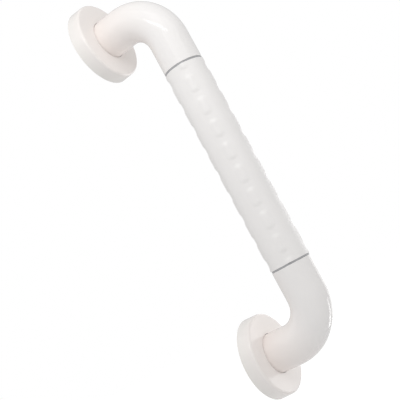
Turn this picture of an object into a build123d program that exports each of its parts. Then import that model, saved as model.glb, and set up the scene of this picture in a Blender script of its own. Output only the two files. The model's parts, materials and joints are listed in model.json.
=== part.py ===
"""Wall-mounted grab bar: a steel core tube with a bumpy moulded grip, moulded elbows, trim rings and covers.

The wall is the plane y = 0 and the room is towards -Y. The bar runs along Z, midway between its two legs at
z = 0. Everything at the lower end is the mirror image of the upper end, apart from the grip.
"""
import math
import os

from build123d import *

# Driving dimensions, in millimetres and degrees
leg_spacing = 307.5  # between the centrelines of the two legs
bar_offset = 65.0  # from the wall to the bar's centreline
bend_radius = 34.0  # of the centreline in the elbows
bar_diameter = 35.0  # of the smooth elbows

core_diameter = 25.0
core_wall = 1.5
core_clearance = 0.1  # between the core tube and each piece on it, on the radius

ring_spacing = 187.0  # between the middles of the two trim rings
ring_width = 1.6
seam_round = 0.3  # on the edges at each trim ring

grip_diameter = 34.2  # between the bumps, and of the trim rings
bump_rows = 4
bump_turn = 64.5  # from the front of the bar to the first row of bumps, towards -X
bump_pitch = 21.3  # along a row
bump_shift = -0.7  # from the middle of the grip to the middle gap of a row
bump_length = 15.3
bump_width = 7.6
bump_height = 0.75

cover_diameter = 72.5  # at the rim
cover_depth = 13.2  # from the wall to the cover's face
cover_wall = 2.0
cover_draft = 1.8  # slope of the skirt, in degrees
cover_edge_radius = 2.0
cover_leg_gap = 0.3  # between the cover's hole and the leg, on the radius
cover_wall_gap = 0.3  # between the cover's rim and the wall

rib_count = 6  # crush ribs that hold the cover on the wall plate
rib_radius = 1.0
rib_height = 0.8  # how far a rib stands out of the cover's skirt
rib_clearance = 0.2  # between a rib and the wall plate, on the radius

plate_thickness = 4.0
plate_chamfer = 0.5
screw_count = 3
screw_circle = 52.0
screw_turn = 90.0  # to the first hole, which points away from the bar's middle
screw_hole_diameter = 5.5
countersink_diameter = 10.5

# Values worked out from them
bar_radius = bar_diameter / 2
core_radius = core_diameter / 2
core_bore_radius = core_radius + core_clearance
grip_radius = grip_diameter / 2
leg_height = leg_spacing / 2
bend_start = bar_offset - bend_radius
bar_top = leg_height - bend_radius
ring_bottom = (ring_spacing - ring_width) / 2
ring_top = (ring_spacing + ring_width) / 2
grip_length = 2 * ring_bottom
cover_radius = cover_diameter / 2
skirt_radius = cover_radius - cover_wall
plate_radius = skirt_radius - rib_height - rib_clearance
rib_length = 2 * plate_thickness
leg_axis = Axis((0, 0, leg_height), (0, -1, 0))


def on_leg(distance):
    """Plane across the upper leg at a distance from the wall, facing the room."""
    return Plane(origin=(0, -distance, leg_height), x_dir=(1, 0, 0), z_dir=(0, -1, 0))


def bent_rod(radius, wall_distance, bar_height):
    """Round rod from wall_distance out along the upper leg, round its bend and down the bar to bar_height."""
    leg = extrude(on_leg(wall_distance) * Circle(radius), bend_start - wall_distance)
    bend_axis = Axis((0, -bend_start, bar_top), (1, 0, 0))
    bend = revolve(on_leg(bend_start) * Circle(radius), bend_axis, 90)
    bar = extrude(Plane((0, -bar_offset, bar_height)) * Circle(radius), bar_top - bar_height)
    return leg + bend + bar


def core_tube():
    """Steel tube through the whole bar, flush with the backs of both wall plates."""
    outside = bent_rod(core_radius, 0, 0)
    inside = bent_rod(core_radius - core_wall, 0, 0)
    half = outside - inside
    return half + mirror(half, Plane.XY)


def elbow():
    """Smooth moulded elbow over the core tube, from the front of the wall plate to the trim ring."""
    outside = bent_rod(bar_radius, plate_thickness, ring_top)
    ring_end = outside.edges().sort_by(Axis.Z)[0]
    outside = fillet(ring_end, seam_round)
    return outside - bent_rod(core_bore_radius, plate_thickness, ring_top)


def trim_ring():
    """Flat ring on the core tube, flush with the grip between its bumps."""
    middle = Pos(0, -bar_offset, ring_spacing / 2)
    ring = middle * Cylinder(grip_radius, ring_width)
    ring = fillet(ring.edges().filter_by(GeomType.CIRCLE), seam_round)
    return ring - middle * Cylinder(core_bore_radius, ring_width)


def bump():
    """Top of a capsule along Z, sunk until bump_width and bump_height of it show, with its root in the sleeve."""
    half_width = bump_width / 2
    crown = grip_radius + bump_height
    drop = crown - math.sqrt(grip_radius**2 - half_width**2)
    radius = (half_width**2 + drop**2) / (2 * drop)
    end_reach = math.sqrt(radius**2 - (radius - bump_height) ** 2)
    half_straight = bump_length / 2 - end_reach
    outline = [
        CenterArc((0, half_straight), radius, 0, 90),
        Line((0, half_straight + radius), (0, -half_straight - radius)),
        CenterArc((0, -half_straight), radius, -90, 90),
        Line((radius, -half_straight), (radius, half_straight)),
    ]
    capsule = Pos(0, radius - crown, 0) * revolve(Plane.XZ * make_face(outline), Axis.Z)
    root = (grip_radius + core_bore_radius) / 2
    above_root = Box(2 * radius, crown, bump_length + 2 * radius, align=(Align.CENTER, Align.MAX, Align.CENTER))
    return capsule & Pos(0, -root, 0) * above_root


def grip_sleeve():
    """Sleeve cut to length from a bumpy tube, so that the rows of bumps run out at its ends."""
    sleeve = Cylinder(grip_radius, grip_length)
    bumps_each_way = math.ceil(grip_length / 2 / bump_pitch)
    heights = [bump_shift + (k + 0.5) * bump_pitch for k in range(-bumps_each_way, bumps_each_way)]
    shape = bump()
    for row in range(bump_rows):
        turn = Rot(0, 0, row * 360 / bump_rows - bump_turn)
        sleeve = sleeve + [turn * Pos(0, 0, height) * shape for height in heights]
    sleeve = sleeve & Cylinder(bar_diameter, grip_length)
    sleeve = sleeve - Cylinder(core_bore_radius, grip_length)
    return Pos(0, -bar_offset, 0) * sleeve


def cover():
    """Press-on cover: a disc with a hole for the leg and a drafted skirt that reaches nearly to the wall."""
    hole_radius = bar_radius + cover_leg_gap
    inner_depth = cover_depth - cover_wall
    slope = math.tan(math.radians(cover_draft))
    face_radius = cover_radius - slope * (cover_depth - cover_wall_gap)
    inner_radius = skirt_radius - slope * (inner_depth - cover_wall_gap)
    corners = [
        (hole_radius, cover_depth),
        (face_radius, cover_depth),
        (cover_radius, cover_wall_gap),
        (skirt_radius, cover_wall_gap),
        (inner_radius, inner_depth),
        (hole_radius, inner_depth),
    ]
    section = make_face(Polyline(*corners, close=True))
    front_corner = section.vertices().sort_by_distance((face_radius, cover_depth))[0]
    section = fillet(front_corner, cover_edge_radius)
    radial_plane = Plane(origin=(0, 0, leg_height), x_dir=(1, 0, 0), z_dir=(0, 0, -1))
    shell = revolve(radial_plane * section, leg_axis)
    rib_distance = skirt_radius - rib_height + rib_radius
    rib_places = PolarLocations(rib_distance, rib_count)
    ribs = [on_leg(cover_wall_gap) * place * Pos(0, 0, rib_length / 2) * Cylinder(rib_radius, rib_length)
            for place in rib_places]
    return shell + ribs


def wall_plate():
    """Steel disc on the end of the core tube, with countersunk screw holes between the leg and its rim."""
    back = on_leg(0)
    plate = back * Pos(0, 0, plate_thickness / 2) * Cylinder(plate_radius, plate_thickness)
    plate = chamfer(plate.edges().filter_by(GeomType.CIRCLE), plate_chamfer)
    core_hole = back * Pos(0, 0, plate_thickness / 2) * Cylinder(core_bore_radius, plate_thickness)
    countersink_depth = (countersink_diameter - screw_hole_diameter) / 2
    through = Cylinder(screw_hole_diameter / 2, 2 * plate_thickness)
    sink = Pos(0, 0, plate_thickness - countersink_depth / 2) * Cone(
        screw_hole_diameter / 2, countersink_diameter / 2, countersink_depth
    )
    places = PolarLocations(screw_circle / 2, screw_count, start_angle=screw_turn)
    holes = [back * place * (through + sink) for place in places]
    return plate - core_hole - holes


def main():
    os.makedirs("parts", exist_ok=True)
    export_step(core_tube(), "parts/core_tube.step")
    export_step(grip_sleeve(), "parts/grip_sleeve.step")
    end_pieces = {"elbow": elbow(), "ring": trim_ring(), "cover": cover(), "wall_plate": wall_plate()}
    for name, piece in end_pieces.items():
        export_step(piece, f"parts/upper_{name}.step")
        export_step(mirror(piece, Plane.XY), f"parts/lower_{name}.step")


main()
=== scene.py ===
"""Looks of a wall-mounted grab bar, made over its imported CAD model.

The wall is the plane y = 0, the room is towards -Y and the bar runs along Z. Lengths are in metres.
End pieces are made for the upper end of the bar and mirrored for the lower end.
"""
import json
import math

import bmesh
import bpy
from bpy.props import FloatProperty, FloatVectorProperty, IntProperty, PointerProperty
from mathutils import Matrix, Quaternion, Vector


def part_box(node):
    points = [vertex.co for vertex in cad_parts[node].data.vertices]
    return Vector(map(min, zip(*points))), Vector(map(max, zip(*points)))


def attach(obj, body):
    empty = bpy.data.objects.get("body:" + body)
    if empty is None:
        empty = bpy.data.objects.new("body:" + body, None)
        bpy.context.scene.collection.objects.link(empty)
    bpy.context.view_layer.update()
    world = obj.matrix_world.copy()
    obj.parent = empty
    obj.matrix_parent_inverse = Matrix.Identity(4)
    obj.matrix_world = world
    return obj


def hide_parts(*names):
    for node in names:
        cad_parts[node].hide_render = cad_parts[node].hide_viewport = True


bl_info = {
    "name": "Grab bar",
    "version": (1, 0, 0),
    "blender": (4, 5, 0),
    "location": "3D view > Sidebar > Grab bar",
    "description": "Makes the moulded pieces of a wall-mounted grab bar over its CAD model",
    "category": "Object",
}

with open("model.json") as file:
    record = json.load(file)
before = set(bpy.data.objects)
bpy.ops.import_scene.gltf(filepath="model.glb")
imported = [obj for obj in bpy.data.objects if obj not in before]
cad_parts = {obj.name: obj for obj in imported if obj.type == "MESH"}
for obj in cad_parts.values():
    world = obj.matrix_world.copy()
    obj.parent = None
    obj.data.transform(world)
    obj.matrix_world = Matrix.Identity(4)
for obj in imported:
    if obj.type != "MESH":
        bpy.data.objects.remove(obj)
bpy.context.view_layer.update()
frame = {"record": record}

# Sizes read from the CAD model, and from its record, which gives the screw holes in millimetres
elbow_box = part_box("upper_elbow")
ring_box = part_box("upper_ring")
cover_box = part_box("upper_cover")
plate_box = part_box("upper_wall_plate")
core_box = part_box("core_tube")
mount_sizes = {mount["name"]: mount["dims"] for mount in frame["record"]["mounts"]}
screws = mount_sizes["upper_screws"]
millimetre = 0.001

# Room round the core tube in every bore
core_clearance = 0.0001

# Directions
up = Vector((0.0, 0.0, 1.0))
into_room = Vector((0.0, -1.0, 0.0))

# How finely curves are cut
grip_facets = 240
grip_rows = 320
elbow_facets = 128
bend_steps = 64
disc_facets = 192
core_hole_facets = 96
screw_hole_facets = 64

# Into how many strips a rounded edge is cut
face_edge_strips = 10
seam_strips = 4
soft_edge_strips = 3

# Points closer together than this are one point
same_place = 1e-6

# How far a loop stands aside while it is bridged to another one in its plane
bridge_step = 0.001

# Edges between faces that turn by more than this stay sharp
sharp_angle = math.radians(40.0)

# Lowest and highest share of its own colour that a white plastic drifts to
plastic_drift = (0.975, 1.02)

# How much the flow of a white plastic changes its roughness
plastic_flow = 0.10


def length_property(name, description, default):
    """A length that the sidebar shows in the scene's units."""
    return FloatProperty(name=name, description=description, default=default, precision=5, unit="LENGTH")


def angle_property(name, description, degrees):
    """An angle that is given here in degrees."""
    return FloatProperty(name=name, description=description, default=math.radians(degrees), subtype="ANGLE")


def power_property(name, description, default):
    """The power of a lamp, in watts."""
    return FloatProperty(name=name, description=description, default=default, min=0.0, unit="POWER")


def glow_property(name, description, default):
    """The strength of a glow; 1 shows as full white."""
    return FloatProperty(name=name, description=description, default=default, min=0.0)


def roughness_property(name, description, default):
    """A roughness, from 0 for a mirror to 1 for chalk."""
    return FloatProperty(
        name=name, description=description, default=default, min=0.0, max=1.0, subtype="FACTOR"
    )


def colour_property(name, description, default):
    """A linear colour without alpha."""
    return FloatVectorProperty(
        name=name, description=description, default=default, size=3, min=0.0, max=1.0, subtype="COLOR"
    )


def strokes_property(name, description, default):
    """How often a pattern of brush strokes changes in a metre along X, Y and Z."""
    return FloatVectorProperty(name=name, description=description, default=default, size=3, subtype="XYZ")


class GrabBarSizes(bpy.types.PropertyGroup):
    """Sizes of the pieces; those that the CAD model shows come from it."""

    leg_height: length_property(
        "Leg height", "From the middle of the bar to a leg's centreline",
        (cover_box[0].z + cover_box[1].z) / 2,
    )
    bar_offset: length_property(
        "Bar offset", "From the wall to the bar's centreline", -(ring_box[0].y + ring_box[1].y) / 2
    )
    bar_radius: length_property("Bar radius", "Of the smooth elbows", elbow_box[1].x)
    bend_radius: length_property("Bend radius", "Of the centreline in the elbows", 0.034)
    core_radius: length_property("Core radius", "Of the core tube", core_box[1].x)
    core_wall: length_property("Core wall", "Thickness of the core tube", 0.0015)
    core_soft_edge: length_property("Core soft edge", "Rounding of the core tube's ends", 0.0002)
    bore_radius: length_property(
        "Bore radius", "Of the hole for the core tube", core_box[1].x + core_clearance
    )
    seam_round: length_property("Seam rounding", "On the edges at each trim ring", 0.0003)

    ring_low: length_property("Ring start", "Height of the trim ring's side at the grip", ring_box[0].z)
    ring_high: length_property("Ring end", "Height of the trim ring's side at the elbow", ring_box[1].z)

    grip_radius: length_property("Grip radius", "Between the bumps, and of the trim rings", ring_box[1].x)
    bump_rows: IntProperty(name="Bump rows", description="Rows of bumps round the grip", default=4, min=1)
    bump_turn: angle_property("Bump turn", "From the front of the bar to the first row, towards -X", 64.5)
    bump_pitch: length_property("Bump pitch", "Along a row", 0.0213)
    bump_shift: length_property(
        "Bump shift", "From the middle of the grip to the middle gap of a row", -0.0007
    )
    bump_length: length_property("Bump length", "Along the grip", 0.0153)
    bump_width: length_property("Bump width", "Across the grip", 0.0076)
    bump_height: length_property("Bump height", "Above the grip", 0.00075)
    bump_blend: length_property("Bump blend", "Softness of the line where a bump leaves the grip", 0.0008)

    cover_radius: length_property("Cover radius", "Of the rim at the wall", cover_box[1].x)
    cover_depth: length_property("Cover depth", "From the wall to the face", -cover_box[0].y)
    cover_wall_gap: length_property("Cover gap at the wall", "Between the rim and the wall", -cover_box[1].y)
    cover_wall: length_property("Cover wall", "Thickness of the face and the skirt", 0.002)
    cover_draft: angle_property("Cover draft", "Slope of the skirt towards the leg", 1.8)
    cover_edge_radius: length_property("Cover edge radius", "Between the face and the rim", 0.002)
    cover_leg_gap: length_property("Cover gap at the leg", "Between the hole and the leg", 0.0003)
    cover_soft_edge: length_property(
        "Cover soft edge", "Rounding of the hole's and the skirt's edges", 0.00015
    )
    rib_count: IntProperty(name="Ribs", description="Crush ribs inside each cover", default=6, min=0)
    rib_height: length_property("Rib height", "How far a rib stands out of the skirt", 0.0008)
    rib_round: length_property("Rib rounding", "On the edges of a rib's crest", 0.0006)
    rib_length: length_property("Rib length", "From the rim inwards", 0.008)

    plate_radius: length_property("Plate radius", "Of the steel wall plate", plate_box[1].x)
    plate_thickness: length_property("Plate thickness", "Of the steel wall plate", -plate_box[0].y)
    plate_chamfer: length_property("Plate chamfer", "On the rim of the wall plate", 0.0005)
    screw_count: IntProperty(
        name="Screw holes", description="In each wall plate", default=screws["count"], min=1
    )
    screw_circle: length_property(
        "Screw circle radius", "Of the circle through the screw holes", screws["pcd_mm"] * millimetre / 2
    )
    screw_radius: length_property("Screw hole radius", "Of a screw hole", screws["hole_r_mm"] * millimetre)
    sink_radius: length_property("Countersink radius", "Of the countersink at the plate's front", 0.00525)


class GrabBarFinishes(bpy.types.PropertyGroup):
    """Colours and gloss of the finishes."""

    grip_colour: colour_property("Grip", "Satin white plastic of the grip", (0.866, 0.848, 0.836))
    elbow_colour: colour_property(
        "Elbows", "Gloss white plastic of the elbows at the rings", (0.867, 0.847, 0.835)
    )
    # Plastic colour plus painted warm bounce light: the legs are tinted warmer where they stand in the shade
    # by the covers
    leg_colour_with_bounce: colour_property("Legs", "Warmer tint of the elbows at the covers", (0.918, 0.848, 0.812))
    # Plastic colour plus painted warm bounce light: the faces, where they meet the legs in the shade, are
    # warmer than the rims
    cover_colour_with_bounce: colour_property("Covers", "Gloss white plastic of the covers' faces", (0.894, 0.849, 0.822))
    rim_colour: colour_property("Cover rims", "Cooler tint of the covers at the wall", (0.868, 0.843, 0.814))
    ring_colour: colour_property("Rings", "Grey plastic of the trim rings", (0.40, 0.40, 0.41))
    steel_colour: colour_property("Steel", "Bare steel of the plates and the core tube", (0.60, 0.60, 0.59))
    grip_roughness: roughness_property("Grip roughness", "Of the grip", 0.42)
    gloss_roughness: roughness_property("Gloss roughness", "Of the elbows and covers", 0.10)
    ring_roughness: roughness_property("Ring roughness", "Of the trim rings, at its lowest", 0.38)
    plate_roughness: roughness_property("Plate roughness", "Of the wall plates, at its lowest", 0.24)
    core_roughness: roughness_property("Core roughness", "Of the core tube, at its lowest", 0.50)
    ring_lines: strokes_property("Ring lines", "Turned lines round the trim rings", (30.0, 30.0, 9000.0))
    plate_strokes: strokes_property("Plate strokes", "Brushed across the wall plates", (40.0, 400.0, 2400.0))
    core_strokes: strokes_property("Core strokes", "Drawn along the tube's legs", (2400.0, 20.0, 2400.0))


class GrabBarStudio(bpy.types.PropertyGroup):
    """Where the camera stands and how strong the light is."""

    azimuth: angle_property("Azimuth", "Of the camera, round from the front towards +X", -60.48)
    elevation: angle_property("Elevation", "Of the camera, above the horizon", -6.5)
    roll: angle_property("Roll", "Of the camera about its own axis", -28.19)
    distance: length_property("Distance", "From the camera to its target", 0.749)
    lens: FloatProperty(
        name="Lens", description="Focal length in millimetres", default=77.81, min=1.0, unit="CAMERA"
    )
    target: FloatVectorProperty(
        name="Target", description="Point in the middle of the picture",
        default=(0.00768, -0.01358, -0.00877), size=3, subtype="XYZ", unit="LENGTH",
    )
    floor_height: length_property("Floor height", "Of the floor, below the middle of the bar", -0.32)
    floor_reach: length_property("Floor reach", "From the middle of the floor to its sides", 4.0)
    floor_colour: colour_property("Floor", "Pale paint of the floor", (0.80, 0.80, 0.80))
    floor_glow: glow_property("Floor glow", "Light that the floor gives of itself", 0.066)
    floor_show: glow_property("Floor show", "Further light of the floor that only the camera sees", 0.5)
    room_light: glow_property("Room light", "Light from all round", 0.635)
    room_show: glow_property("Room show", "Brightness of the room as the camera sees it", 1.0)
    key_power: power_property("Key light", "Of the strip over the camera's left shoulder", 0.45)
    shoulder_power: power_property("Shoulder light", "Of the softbox behind the key strip", 0.23)
    top_power: power_property("Top light", "Of the softbox over the camera", 0.46)
    left_power: power_property("Left light", "Of the softbox on the left", 0.275)
    rim_power: power_property("Rim light", "Of the softbox on the right, behind the bar", 0.76)
    edge_power: power_property("Edge light", "Of the strip that the lower elbow's edge reflects", 0.070)


class Wire:
    """An output socket of a shader node. Arithmetic on it adds Math nodes."""

    def __init__(self, board, socket):
        self.board = board
        self.socket = socket

    def math(self, operation, first, second):
        """Adds a Math node on two numbers or outputs."""
        return self.board.node("ShaderNodeMath", {"operation": operation}, {0: first, 1: second})

    def __add__(self, other):
        return self.math("ADD", self, other)

    __radd__ = __add__

    def __sub__(self, other):
        return self.math("SUBTRACT", self, other)

    def __rsub__(self, other):
        return self.math("SUBTRACT", other, self)

    def __mul__(self, other):
        return self.math("MULTIPLY", self, other)

    __rmul__ = __mul__


class Board:
    """The node tree of a material or of the world, emptied."""

    def __init__(self, owner):
        owner.use_nodes = True
        self.tree = owner.node_tree
        self.tree.nodes.clear()

    def node(self, kind, settings=None, sockets=None, out=0):
        """Adds a node, sets its settings, fills or links its sockets and returns the chosen output."""
        made = self.tree.nodes.new(kind)
        for name, value in (settings or {}).items():
            setattr(made, name, value)
        for name, value in (sockets or {}).items():
            if isinstance(value, Wire):
                self.tree.links.new(value.socket, made.inputs[name])
            else:
                made.inputs[name].default_value = value
        return Wire(self, made.outputs[out]) if made.outputs else None

    def place(self):
        """Object coordinates."""
        return self.node("ShaderNodeTexCoord", out="Object")

    def stretched(self, place, scales):
        """Object coordinates, each times its own scale."""
        return self.node("ShaderNodeMapping", {}, {"Vector": place, "Scale": scales})

    def noise(self, place, scale=1.0, detail=2.0):
        """Noise from 0 to 1 with features of about one over scale, in the units of place."""
        return self.node("ShaderNodeTexNoise", {}, {"Vector": place, "Scale": scale, "Detail": detail})

    def mixed(self, share, first, second):
        """Two colours, mixed by a share from 0 to 1."""
        return self.node("ShaderNodeMix", {"data_type": "RGBA"}, {0: share, 6: first, 7: second}, out=2)

    def shades(self, share, colour, low, high):
        """A colour that goes from low times itself to high times itself with a share from 0 to 1."""
        return self.mixed(share, shade(colour, low), shade(colour, high))

    def bump(self, height, depth, strength=0.5):
        """A normal that follows a height; depth is what 1 of it stands for, in metres."""
        return self.node("ShaderNodeBump", {}, {"Strength": strength, "Distance": depth, "Height": height})

    def surface(self, **sockets):
        """A Principled surface with these sockets, joined to the output."""
        named = {name.replace("_", " ").title(): value for name, value in sockets.items()}
        shader = self.node("ShaderNodeBsdfPrincipled", {}, named)
        self.node("ShaderNodeOutputMaterial", {}, {"Surface": shader})


def shade(colour, factor):
    """A colour, times a factor, with alpha."""
    return (*(min(1.0, part * factor) for part in colour), 1.0)


def gloss_plastic(name, colour, wall_colour, reach, roughness):
    """Gloss white moulding with a drift in its colour, flow in its gloss and a skin like fine orange peel.

    Its colour changes to wall_colour between the two distances from the wall that reach holds. The change is
    partly the plastic's own tint and partly painted warm bounce light, warmest where a leg meets its cover's
    face in the shade.
    """
    material = bpy.data.materials.new(name)
    board = Board(material)
    place = board.place()
    towards_wall = board.node("ShaderNodeSeparateXYZ", {}, {"Vector": place}, out="Y")
    near_wall = board.node("ShaderNodeMapRange", {}, {
        "Value": towards_wall, "From Min": -reach[0], "From Max": -reach[1],
    })
    drift = board.noise(place, scale=22.0)
    flow = board.noise(place, scale=140.0, detail=4.0)
    peel = board.noise(place, scale=700.0, detail=3.0)
    # Painted warm bounce light: between these two the colour turns warmer towards where leg and cover face
    # meet in the shade
    far_shades = board.shades(drift, colour, *plastic_drift)
    wall_shades = board.shades(drift, wall_colour, *plastic_drift)
    board.surface(
        base_color=board.mixed(near_wall, far_shades, wall_shades),
        roughness=roughness + plastic_flow * (flow - 0.5),
        normal=board.bump(peel + 4.0 * flow, depth=0.00001),
    )
    return material


def satin_plastic(name, colour, roughness, sizes):
    """Satin white moulding of the grip, with a fine skin that is smoother on the crowns of the bumps."""
    material = bpy.data.materials.new(name)
    board = Board(material)
    place = board.place()
    to_axis = (0.0, sizes.bar_offset, 0.0)
    centred = board.node("ShaderNodeVectorMath", {"operation": "ADD"}, {0: place, 1: to_axis})
    across = board.node("ShaderNodeVectorMath", {"operation": "MULTIPLY"}, {0: centred, 1: (1.0, 1.0, 0.0)})
    radius = board.node("ShaderNodeVectorMath", {"operation": "LENGTH"}, {0: across}, out="Value")
    crown = board.node("ShaderNodeMapRange", {}, {
        "Value": radius,
        "From Min": sizes.grip_radius + 0.3 * sizes.bump_height,
        "From Max": sizes.grip_radius + sizes.bump_height,
    })
    drift = board.noise(place, scale=26.0)
    flow = board.noise(place, scale=120.0, detail=3.0)
    grain = board.noise(place, scale=1600.0, detail=3.0)
    board.surface(
        base_color=board.shades(drift, colour, *plastic_drift),
        roughness=roughness + plastic_flow * (flow - 0.5) - 0.07 * crown,
        normal=board.bump(grain * (1.0 - 0.5 * crown) + 2.0 * flow, depth=0.000012),
    )
    return material


def ring_plastic(name, colour, roughness, lines):
    """Grey satin trim with faint lines round it, as turning leaves them."""
    material = bpy.data.materials.new(name)
    board = Board(material)
    place = board.place()
    turned = board.noise(board.stretched(place, lines))
    drift = board.noise(place, scale=160.0)
    board.surface(
        base_color=board.shades(0.6 * drift + 0.4 * turned, colour, low=0.88, high=1.12),
        roughness=roughness + 0.16 * turned,
        normal=board.bump(turned, depth=0.00001),
    )
    return material


def brushed_steel(name, colour, roughness, strokes):
    """Bare steel with brush strokes and faint clouds."""
    material = bpy.data.materials.new(name)
    board = Board(material)
    place = board.place()
    brushed = board.noise(board.stretched(place, strokes), detail=5.0)
    cloud = board.noise(place, scale=60.0, detail=3.0)
    board.surface(
        base_color=board.shades(0.7 * brushed + 0.3 * cloud, colour, low=0.80, high=1.15),
        roughness=roughness + 0.20 * brushed + 0.08 * cloud,
        metallic=1.0,
        normal=board.bump(brushed, depth=0.00003, strength=0.6),
    )
    return material


def verts_only(parts):
    """The vertices among mesh elements."""
    return [part for part in parts if isinstance(part, bmesh.types.BMVert)]


def loop_verts(edges):
    """The vertices of these edges, each once."""
    return list(dict.fromkeys(vert for edge in edges for vert in edge.verts))


def loop_edges(verts):
    """The edges that join these vertices to each other."""
    wanted = set(verts)
    found = dict.fromkeys(edge for vert in verts for edge in vert.link_edges)
    return [edge for edge in found if edge.verts[0] in wanted and edge.verts[1] in wanted]


def edges_on(bm, axis, level):
    """Edges in the plane across an axis, 0 to 2 for X to Z, at this level along it."""
    def lies_there(vert):
        return abs(vert.co[axis] - level) < same_place
    return [edge for edge in bm.edges if all(lies_there(vert) for vert in edge.verts)]


def edges_round(bm, axis_point, axis, radius, height):
    """Edges that run round an axis at this radius and this height along it."""
    def lies_there(vert):
        offset = vert.co - Vector(axis_point)
        along = offset.dot(axis)
        out = (offset - along * axis).length
        return abs(along - height) < same_place and abs(out - radius) < same_place
    return [edge for edge in bm.edges if all(lies_there(vert) for vert in edge.verts)]


def circle(bm, radius, place, facets):
    """A loop of edges in the plane that a matrix places."""
    made = bmesh.ops.create_circle(bm, cap_ends=False, segments=facets, radius=radius, matrix=place)
    return loop_edges(made["verts"])


def drawn_out(bm, loop, offset):
    """Wall from a loop to the same loop moved by an offset; returns the moved loop."""
    made = bmesh.ops.extrude_edge_only(bm, edges=loop)["geom"]
    verts = verts_only(made)
    bmesh.ops.translate(bm, vec=offset, verts=verts)
    return loop_edges(verts)


def flat_ring(bm, outer, inner, axis):
    """Joins two loops round one centre.

    The inner one stands aside along the axis while they are bridged, because the bridge can't tell which
    way two loops in one plane run and may cross over.
    """
    verts = loop_verts(inner)
    aside = bridge_step * axis
    bmesh.ops.translate(bm, vec=aside, verts=verts)
    bmesh.ops.bridge_loops(bm, edges=outer + inner)
    bmesh.ops.translate(bm, vec=-aside, verts=verts)


def across_leg(sizes, distance):
    """Matrix for the plane across the upper leg, at a distance from the wall."""
    return Matrix.Translation((0.0, -distance, sizes.leg_height)) @ Matrix.Rotation(math.pi / 2, 4, "X")


def bent_wall(bm, sizes, radius, wall_distance, end_height):
    """Round wall out along the upper leg, round its bend and down the bar; returns its two end loops."""
    bend_start = sizes.bar_offset - sizes.bend_radius
    bar_top = sizes.leg_height - sizes.bend_radius
    start = circle(bm, radius, across_leg(sizes, wall_distance), elbow_facets)
    loop = drawn_out(bm, start, (0.0, wall_distance - bend_start, 0.0))
    turned = bmesh.ops.spin(
        bm, geom=loop + loop_verts(loop), cent=(0.0, -bend_start, bar_top), axis=(1.0, 0.0, 0.0),
        dvec=(0.0, 0.0, 0.0), angle=math.pi / 2, steps=bend_steps, use_merge=False,
    )["geom_last"]
    loop = loop_edges(verts_only(turned))
    end = drawn_out(bm, loop, (0.0, 0.0, end_height - bar_top))
    return start, end


def rounded(bm, edges, size, strips):
    """Rounds edges, after the faces agree on which side is out."""
    bmesh.ops.recalc_face_normals(bm, faces=bm.faces)
    bmesh.ops.bevel(
        bm, geom=edges, offset=size, offset_type="OFFSET", segments=strips, profile=0.5,
        affect="EDGES", material=-1, clamp_overlap=True,
    )


def spun(bm, corners, axis_point, axis, facets, closed=True):
    """Wall of revolution from a section of corner points, which is closed round or left open at its ends."""
    verts = [bm.verts.new(corner) for corner in corners]
    pairs = list(zip(verts, verts[1:]))
    if closed:
        pairs.append((verts[-1], verts[0]))
    edges = [bm.edges.new(pair) for pair in pairs]
    bmesh.ops.spin(
        bm, geom=verts + edges, cent=axis_point, axis=axis, dvec=(0.0, 0.0, 0.0),
        angle=2 * math.pi, steps=facets, use_merge=True,
    )


def settle(bm, name, material, body, node, mirrored=False):
    """Makes a piece of a finished mesh, riding on a body in place of a CAD node."""
    if mirrored:
        bmesh.ops.scale(bm, vec=(1.0, 1.0, -1.0), verts=bm.verts)
    bmesh.ops.remove_doubles(bm, verts=bm.verts, dist=same_place)
    bmesh.ops.recalc_face_normals(bm, faces=bm.faces)
    mesh = bpy.data.meshes.new(name)
    bm.to_mesh(mesh)
    bm.free()
    mesh.shade_smooth()
    mesh.set_sharp_from_angle(angle=sharp_angle)
    mesh.materials.append(material)
    piece = bpy.data.objects.new(name, mesh)
    bpy.context.scene.collection.objects.link(piece)
    flats = piece.modifiers.new("Flat faces stay flat", "WEIGHTED_NORMAL")
    flats.keep_sharp = True
    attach(piece, body)
    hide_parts(node)


def both_ends(context, make_mesh, name, material, bodies, nodes):
    """Makes an upper and a lower copy of an end piece; bodies and nodes name the upper one's first."""
    for end, body, node in zip(("upper", "lower"), bodies, nodes):
        bm = make_mesh(context.scene.grab_bar_sizes)
        settle(bm, f"{end}_{name}", material, body, node, mirrored=end == "lower")


def bumpy_radius(sizes, angle, height):
    """Radius of the grip at an angle from a row of bumps and a height.

    A bump is the top of a capsule that is sunk in the round bar until its stated width and height show,
    and it blends softly into the bar.
    """
    half_width = sizes.bump_width / 2
    crown = sizes.grip_radius + sizes.bump_height
    drop = crown - math.sqrt(sizes.grip_radius**2 - half_width**2)
    radius = (half_width**2 + drop**2) / (2 * drop)
    end_reach = math.sqrt(radius**2 - (radius - sizes.bump_height) ** 2)
    half_straight = sizes.bump_length / 2 - end_reach
    from_gap = ((height - sizes.bump_shift) / sizes.bump_pitch) % 1.0
    beyond = max(0.0, abs(from_gap - 0.5) * sizes.bump_pitch - half_straight)
    depth = crown - radius
    under_root = radius**2 - beyond**2 - (depth * math.sin(angle)) ** 2
    if under_root <= 0.0:
        return sizes.grip_radius
    bump = depth * math.cos(angle) + math.sqrt(under_root)
    share = max(0.0, min(1.0, 0.5 + 0.5 * (bump - sizes.grip_radius) / sizes.bump_blend))
    blend = sizes.bump_blend * share * (1.0 - share)
    return sizes.grip_radius * (1.0 - share) + bump * share + blend


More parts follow.
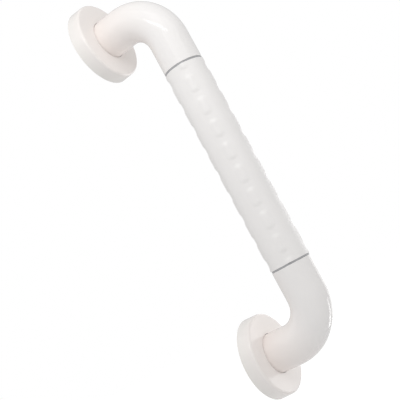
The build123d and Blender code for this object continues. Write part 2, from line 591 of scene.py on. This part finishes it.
def grip_mesh(sizes):
    """Bumpy sleeve between the trim rings, with its bore."""
    bm = bmesh.new()
    half = sizes.ring_low
    place = Matrix.Translation((0.0, -sizes.bar_offset, 0.0))
    bmesh.ops.create_cone(
        bm, cap_ends=False, segments=grip_facets, radius1=sizes.grip_radius, radius2=sizes.grip_radius,
        depth=2 * half, matrix=place,
    )
    upright = [edge for edge in bm.edges if abs(edge.verts[0].co.z - edge.verts[1].co.z) > half]
    bmesh.ops.subdivide_edges(bm, edges=upright, cuts=grip_rows - 1, use_grid_fill=True)
    row_step = 2 * math.pi / sizes.bump_rows
    for vert in bm.verts:
        out = Vector((vert.co.x, vert.co.y + sizes.bar_offset))
        from_front = math.atan2(-out.x, -out.y)
        from_row = (from_front - sizes.bump_turn + row_step / 2) % row_step - row_step / 2
        out *= bumpy_radius(sizes, from_row, vert.co.z) / out.length
        vert.co.x = out.x
        vert.co.y = out.y - sizes.bar_offset
    low_end = edges_on(bm, 2, -half)
    high_end = edges_on(bm, 2, half)
    bore_low = circle(bm, sizes.bore_radius, place @ Matrix.Translation(-half * up), grip_facets)
    bore_high = drawn_out(bm, bore_low, 2 * half * up)
    flat_ring(bm, low_end, bore_low, up)
    flat_ring(bm, high_end, bore_high, -up)
    return bm


def elbow_mesh(sizes):
    """Smooth elbow from the wall plate to the trim ring, with its bore."""
    bm = bmesh.new()
    outer_start, outer_end = bent_wall(bm, sizes, sizes.bar_radius, sizes.plate_thickness, sizes.ring_high)
    inner_start, inner_end = bent_wall(bm, sizes, sizes.bore_radius, sizes.plate_thickness, sizes.ring_high)
    flat_ring(bm, outer_start, inner_start, into_room)
    flat_ring(bm, outer_end, inner_end, up)
    rounded(bm, outer_end, sizes.seam_round, seam_strips)
    return bm


def tube_mesh(sizes):
    """Tube from wall to wall, open at both ends."""
    bm = bmesh.new()
    outer_end = bent_wall(bm, sizes, sizes.core_radius, 0.0, 0.0)[0]
    inner_end = bent_wall(bm, sizes, sizes.core_radius - sizes.core_wall, 0.0, 0.0)[0]
    flat_ring(bm, outer_end, inner_end, into_room)
    rounded(bm, outer_end + inner_end, sizes.core_soft_edge, soft_edge_strips)
    half = bm.verts[:] + bm.edges[:] + bm.faces[:]
    bmesh.ops.mirror(bm, geom=half, matrix=Matrix.Identity(4), merge_dist=same_place, axis="Z")
    return bm


def ring_mesh(sizes):
    """Trim ring with rounded outer edges."""
    bm = bmesh.new()
    axis_point = (0.0, -sizes.bar_offset, 0.0)
    section = [
        (sizes.bore_radius, sizes.ring_low), (sizes.grip_radius, sizes.ring_low),
        (sizes.grip_radius, sizes.ring_high), (sizes.bore_radius, sizes.ring_high),
    ]
    corners = [(radius, -sizes.bar_offset, height) for radius, height in section]
    spun(bm, corners, axis_point, up, disc_facets)
    outer = []
    for height in (sizes.ring_low, sizes.ring_high):
        outer += edges_round(bm, axis_point, up, sizes.grip_radius, height)
    rounded(bm, outer, sizes.seam_round, seam_strips)
    return bm


def raise_rib(bm, sizes, outwards):
    """Raises a crush rib, two facets wide, from the skirt's inner wall where outwards points to it."""
    middle = sizes.leg_height * up
    skirt_radius = sizes.cover_radius - sizes.cover_wall
    # The skirt leans, so its inner wall is looked for this far to either side of its radius at the rim
    lean = sizes.cover_wall / 4
    rib_start = sizes.cover_wall_gap + sizes.cover_soft_edge
    rib_end = sizes.cover_wall_gap + sizes.rib_length
    facet_angle = 2 * math.pi / disc_facets

    def is_root(face):
        offset = face.calc_center_median() - middle
        depth = -offset.y
        offset.y = 0.0
        on_wall = abs(offset.length - skirt_radius) < lean
        return on_wall and rib_start < depth < rib_end and offset.angle(outwards) < facet_angle

    root = [face for face in bm.faces if is_root(face)]
    made = bmesh.ops.extrude_face_region(bm, geom=root)["geom"]
    bmesh.ops.delete(bm, geom=root, context="FACES")
    bmesh.ops.translate(bm, vec=-sizes.rib_height * outwards, verts=verts_only(made))
    crest = [part for part in made if isinstance(part, bmesh.types.BMFace)]
    crest_edges = [edge for face in crest for edge in face.edges]
    border = [edge for edge in crest_edges if not all(face in crest for face in edge.link_faces)]
    at_rim = max(vert.co.y for vert in loop_verts(border))
    off_rim = [edge for edge in border if min(vert.co.y for vert in edge.verts) < at_rim - same_place]
    rounded(bm, off_rim, sizes.rib_round, soft_edge_strips)


def cover_mesh(sizes):
    """Cover with a hole for the leg, a rounded face edge, a skirt and crush ribs inside the skirt."""
    bm = bmesh.new()
    axis_point = sizes.leg_height * up
    hole_radius = sizes.bar_radius + sizes.cover_leg_gap
    skirt_radius = sizes.cover_radius - sizes.cover_wall
    inner_depth = sizes.cover_depth - sizes.cover_wall
    slope = math.tan(sizes.cover_draft)
    face_radius = sizes.cover_radius - slope * (sizes.cover_depth - sizes.cover_wall_gap)
    inner_radius = skirt_radius - slope * (inner_depth - sizes.cover_wall_gap)
    hole_edge = (hole_radius, sizes.cover_depth)
    face_edge = (face_radius, sizes.cover_depth)
    rim_outer = (sizes.cover_radius, sizes.cover_wall_gap)
    rim_inner = (skirt_radius, sizes.cover_wall_gap)
    rib_end = (skirt_radius - slope * sizes.rib_length, sizes.cover_wall_gap + sizes.rib_length)
    section = [
        hole_edge, face_edge, rim_outer, rim_inner, rib_end,
        (inner_radius, inner_depth), (hole_radius, inner_depth),
    ]
    corners = [(radius, -depth, sizes.leg_height) for radius, depth in section]
    spun(bm, corners, axis_point, into_room, disc_facets)
    face_edges = edges_round(bm, axis_point, into_room, *face_edge)
    rounded(bm, face_edges, sizes.cover_edge_radius, face_edge_strips)
    soft_edges = []
    for corner in (hole_edge, rim_outer, rim_inner):
        soft_edges += edges_round(bm, axis_point, into_room, *corner)
    rounded(bm, soft_edges, sizes.cover_soft_edge, soft_edge_strips)
    for rib in range(sizes.rib_count):
        angle = 2 * math.pi * rib / sizes.rib_count
        raise_rib(bm, sizes, Vector((math.cos(angle), 0.0, math.sin(angle))))
    return bm


def plate_mesh(sizes):
    """Steel disc with a chamfered rim, a hole for the core tube and countersunk screw holes."""
    bm = bmesh.new()
    thickness = sizes.plate_thickness
    chamfer = sizes.plate_chamfer
    sink_depth = sizes.sink_radius - sizes.screw_radius
    rim = [
        (sizes.plate_radius - chamfer, 0.0), (sizes.plate_radius, chamfer),
        (sizes.plate_radius, thickness - chamfer), (sizes.plate_radius - chamfer, thickness),
    ]
    core_hole = [(sizes.bore_radius, 0.0), (sizes.bore_radius, thickness)]
    screw_hole = [
        (sizes.screw_radius, 0.0), (sizes.screw_radius, thickness - sink_depth),
        (sizes.sink_radius, thickness),
    ]
    middle = sizes.leg_height * up
    walls = [(middle, rim, disc_facets), (middle, core_hole, core_hole_facets)]
    for hole in range(sizes.screw_count):
        angle = math.pi / 2 + 2 * math.pi * hole / sizes.screw_count
        outwards = Vector((math.cos(angle), 0.0, math.sin(angle)))
        walls.append((middle + sizes.screw_circle * outwards, screw_hole, screw_hole_facets))
    for axis_point, section, facets in walls:
        corners = [axis_point + Vector((radius, -depth, 0.0)) for radius, depth in section]
        spun(bm, corners, axis_point, into_room, facets, closed=False)
    for depth in (0.0, thickness):
        rims = edges_on(bm, 1, -depth)
        bmesh.ops.triangle_fill(bm, use_beauty=True, use_dissolve=False, edges=rims, normal=-into_room)
    return bm


class GRABBAR_OT_grip(bpy.types.Operator):
    """Make the bumpy grip between the trim rings"""

    bl_idname = "grab_bar.grip"
    bl_label = "Bumpy grip"

    def execute(self, context):
        sizes = context.scene.grab_bar_sizes
        finishes = context.scene.grab_bar_finishes
        plastic = satin_plastic("Satin white grip", finishes.grip_colour, finishes.grip_roughness, sizes)
        settle(grip_mesh(sizes), "grip_moulding", plastic, "bar", "grip_sleeve")
        return {"FINISHED"}


class GRABBAR_OT_elbows(bpy.types.Operator):
    """Make the two smooth elbows"""

    bl_idname = "grab_bar.elbows"
    bl_label = "Elbows"

    def execute(self, context):
        sizes = context.scene.grab_bar_sizes
        finishes = context.scene.grab_bar_finishes
        # The elbows fade to the leg colour near the covers, a painted warm bounce light in the shade there
        plastic = gloss_plastic(
            "Gloss white elbow", finishes.elbow_colour, finishes.leg_colour_with_bounce,
            (sizes.bar_offset, sizes.cover_depth), finishes.gloss_roughness,
        )
        nodes = ("upper_elbow", "lower_elbow")
        both_ends(context, elbow_mesh, "elbow_moulding", plastic, ("bar", "bar"), nodes)
        return {"FINISHED"}


class GRABBAR_OT_rings(bpy.types.Operator):
    """Make the two grey trim rings"""

    bl_idname = "grab_bar.rings"
    bl_label = "Trim rings"

    def execute(self, context):
        finishes = context.scene.grab_bar_finishes
        plastic = ring_plastic(
            "Grey trim", finishes.ring_colour, finishes.ring_roughness, finishes.ring_lines
        )
        nodes = ("upper_ring", "lower_ring")
        both_ends(context, ring_mesh, "trim_ring", plastic, ("bar", "bar"), nodes)
        return {"FINISHED"}


class GRABBAR_OT_covers(bpy.types.Operator):
    """Make the two press-on covers, which slide along the legs"""

    bl_idname = "grab_bar.covers"
    bl_label = "Covers"

    def execute(self, context):
        sizes = context.scene.grab_bar_sizes
        finishes = context.scene.grab_bar_finishes
        # The covers go from a warmer face by the leg to a cooler rim, a painted warm bounce light on the face
        plastic = gloss_plastic(
            "Gloss white cover", finishes.cover_colour_with_bounce, finishes.rim_colour,
            (sizes.cover_depth, sizes.cover_wall_gap), finishes.gloss_roughness,
        )
        names = ("upper_cover", "lower_cover")
        both_ends(context, cover_mesh, "cover_moulding", plastic, names, names)
        return {"FINISHED"}


class GRABBAR_OT_plates(bpy.types.Operator):
    """Make the two steel wall plates"""

    bl_idname = "grab_bar.plates"
    bl_label = "Wall plates"

    def execute(self, context):
        finishes = context.scene.grab_bar_finishes
        steel = brushed_steel(
            "Brushed plate steel", finishes.steel_colour, finishes.plate_roughness, finishes.plate_strokes
        )
        nodes = ("upper_wall_plate", "lower_wall_plate")
        both_ends(context, plate_mesh, "screw_plate", steel, ("bar", "bar"), nodes)
        return {"FINISHED"}


class GRABBAR_OT_tube(bpy.types.Operator):
    """Make the steel tube inside the bar, which shows at the open ends"""

    bl_idname = "grab_bar.tube"
    bl_label = "Core tube"

    def execute(self, context):
        finishes = context.scene.grab_bar_finishes
        steel = brushed_steel(
            "Drawn tube steel", finishes.steel_colour, finishes.core_roughness, finishes.core_strokes
        )
        bm = tube_mesh(context.scene.grab_bar_sizes)
        settle(bm, "steel_core", steel, "bar", "core_tube")
        return {"FINISHED"}


class GRABBAR_OT_stage(bpy.types.Operator):
    """Set the floor, the light and the camera"""

    bl_idname = "grab_bar.stage"
    bl_label = "Studio"

    def execute(self, context):
        scene = context.scene
        studio = scene.grab_bar_studio
        scene.view_settings.view_transform = "Standard"
        self.set_camera(scene, studio)
        self.set_room(scene, studio)
        self.set_lamps(scene, studio)
        self.set_floor(scene, studio)
        return {"FINISHED"}

    def set_camera(self, scene, studio):
        """Camera that looks at the target, turned about its own axis."""
        back = Vector((
            math.sin(studio.azimuth) * math.cos(studio.elevation),
            -math.cos(studio.azimuth) * math.cos(studio.elevation),
            math.sin(studio.elevation),
        ))
        turn = (-back).to_track_quat("-Z", "Y") @ Quaternion((0.0, 0.0, 1.0), studio.roll)
        camera = bpy.data.objects.new("Camera", bpy.data.cameras.new("Camera"))
        camera.data.lens = studio.lens
        camera.data.sensor_width = 36.0
        camera.data.clip_start = 0.01
        camera.matrix_world = Matrix.LocRotScale(Vector(studio.target) + back * studio.distance, turn, None)
        scene.collection.objects.link(camera)
        scene.camera = camera

    def set_room(self, scene, studio):
        """Even light from all round, behind which the camera sees white."""
        world = bpy.data.worlds.new("White room")
        board = Board(world)
        seen = board.node("ShaderNodeLightPath", out="Is Camera Ray")
        strength = studio.room_light + (studio.room_show - studio.room_light) * seen
        light = board.node("ShaderNodeBackground", {}, {"Color": (1.0, 1.0, 1.0, 1.0), "Strength": strength})
        board.node("ShaderNodeOutputWorld", {}, {"Surface": light})
        scene.world = world

    def set_lamps(self, scene, studio):
        """Softboxes that face the target.

        A row gives a name, a place from the target, the way that the long side runs, a size and a power.
        Places and ways are towards the picture's right, its top and the camera.
        """
        square = (0.45, 0.45)
        rows = (
            ("Key strip", (-0.28, 0.40, 0.50), (0.91, 0.27, 0.29), (0.52, 0.045), studio.key_power),
            ("Shoulder softbox", (-0.26, 0.26, 0.26), (1.0, 0.0, 0.0), square, studio.shoulder_power),
            ("Top softbox", (0.0, 0.318, 0.318), (1.0, 0.0, 0.0), square, studio.top_power),
            ("Left softbox", (-0.45, 0.0, 0.0), (0.0, 1.0, 0.0), square, studio.left_power),
            ("Rim softbox", (0.318, 0.0, -0.318), (0.0, 1.0, 0.0), square, studio.rim_power),
            ("Edge strip", (0.288, -0.112, -0.006), (-0.26, -0.90, -0.35), (0.145, 0.045), studio.edge_power),
        )
        softboxes = {row[0]: self.set_softbox(scene, studio, *row) for row in rows}
        self.show_only_in(softboxes["Edge strip"], "lower_elbow_moulding")

    def set_softbox(self, scene, studio, name, offset, along, size, power):
        """Lamp at an offset from the target, with its long side along a way."""
        lamp = bpy.data.lights.new(name, "AREA")
        lamp.shape = "RECTANGLE"
        lamp.size, lamp.size_y = size
        lamp.energy = power
        softbox = bpy.data.objects.new(name, lamp)
        softbox.visible_camera = False
        picture = scene.camera.matrix_world.to_3x3()
        away = picture @ Vector(offset)
        across = away.cross(picture @ Vector(along)).normalized()
        turn = Matrix((across.cross(away).normalized(), across, away.normalized())).transposed()
        softbox.matrix_world = Matrix.Translation(Vector(studio.target) + away) @ turn.to_4x4()
        scene.collection.objects.link(softbox)
        return softbox

    def show_only_in(self, softbox, piece_name):
        """Keeps a lamp to the reflections in one piece, which has to be made before."""
        receivers = bpy.data.collections.new(softbox.name)
        receivers.objects.link(bpy.data.objects[piece_name])
        softbox.light_linking.receiver_collection = receivers
        softbox.visible_diffuse = False

    def set_floor(self, scene, studio):
        """Pale floor that the camera sees as white."""
        bm = bmesh.new()
        place = Matrix.Translation(studio.floor_height * up)
        bmesh.ops.create_grid(bm, x_segments=1, y_segments=1, size=studio.floor_reach, matrix=place)
        mesh = bpy.data.meshes.new("Floor")
        bm.to_mesh(mesh)
        bm.free()
        material = bpy.data.materials.new("Pale floor")
        board = Board(material)
        seen = board.node("ShaderNodeLightPath", out="Is Camera Ray")
        paint = board.node("ShaderNodeBsdfDiffuse", {}, {"Color": shade(studio.floor_colour, 1.0)})
        strength = studio.floor_glow + studio.floor_show * seen
        glow = board.node("ShaderNodeEmission", {}, {"Strength": strength})
        look = board.node("ShaderNodeAddShader", {}, {0: paint, 1: glow})
        board.node("ShaderNodeOutputMaterial", {}, {"Surface": look})
        mesh.materials.append(material)
        floor = bpy.data.objects.new("Floor", mesh)
        scene.collection.objects.link(floor)


class GRABBAR_PT_sidebar(bpy.types.Panel):
    """Lists the steps that make the grab bar"""

    bl_idname = "GRABBAR_PT_sidebar"
    bl_label = "Grab bar"
    bl_space_type = "VIEW_3D"
    bl_region_type = "UI"
    bl_category = "Grab bar"

    def draw(self, context):
        for operator in operators:
            self.layout.operator(operator.bl_idname)


operators = (
    GRABBAR_OT_grip,
    GRABBAR_OT_elbows,
    GRABBAR_OT_rings,
    GRABBAR_OT_covers,
    GRABBAR_OT_plates,
    GRABBAR_OT_tube,
    GRABBAR_OT_stage,
)
groups = {
    "grab_bar_sizes": GrabBarSizes,
    "grab_bar_finishes": GrabBarFinishes,
    "grab_bar_studio": GrabBarStudio,
}


def register():
    """Registers the classes and hangs the settings on the scene."""
    for group in groups.values():
        bpy.utils.register_class(group)
    for name, group in groups.items():
        setattr(bpy.types.Scene, name, PointerProperty(type=group))
    for kind in (*operators, GRABBAR_PT_sidebar):
        bpy.utils.register_class(kind)


def unregister():
    """Takes everything that register added away again."""
    for kind in (GRABBAR_PT_sidebar, *reversed(operators)):
        bpy.utils.unregister_class(kind)
    for name in groups:
        delattr(bpy.types.Scene, name)
    for group in reversed(list(groups.values())):
        bpy.utils.unregister_class(group)


def main():
    register()
    bpy.ops.grab_bar.grip()
    bpy.ops.grab_bar.elbows()
    bpy.ops.grab_bar.rings()
    bpy.ops.grab_bar.covers()
    bpy.ops.grab_bar.plates()
    bpy.ops.grab_bar.tube()
    bpy.ops.grab_bar.stage()


if __name__ == "__main__":
    main()
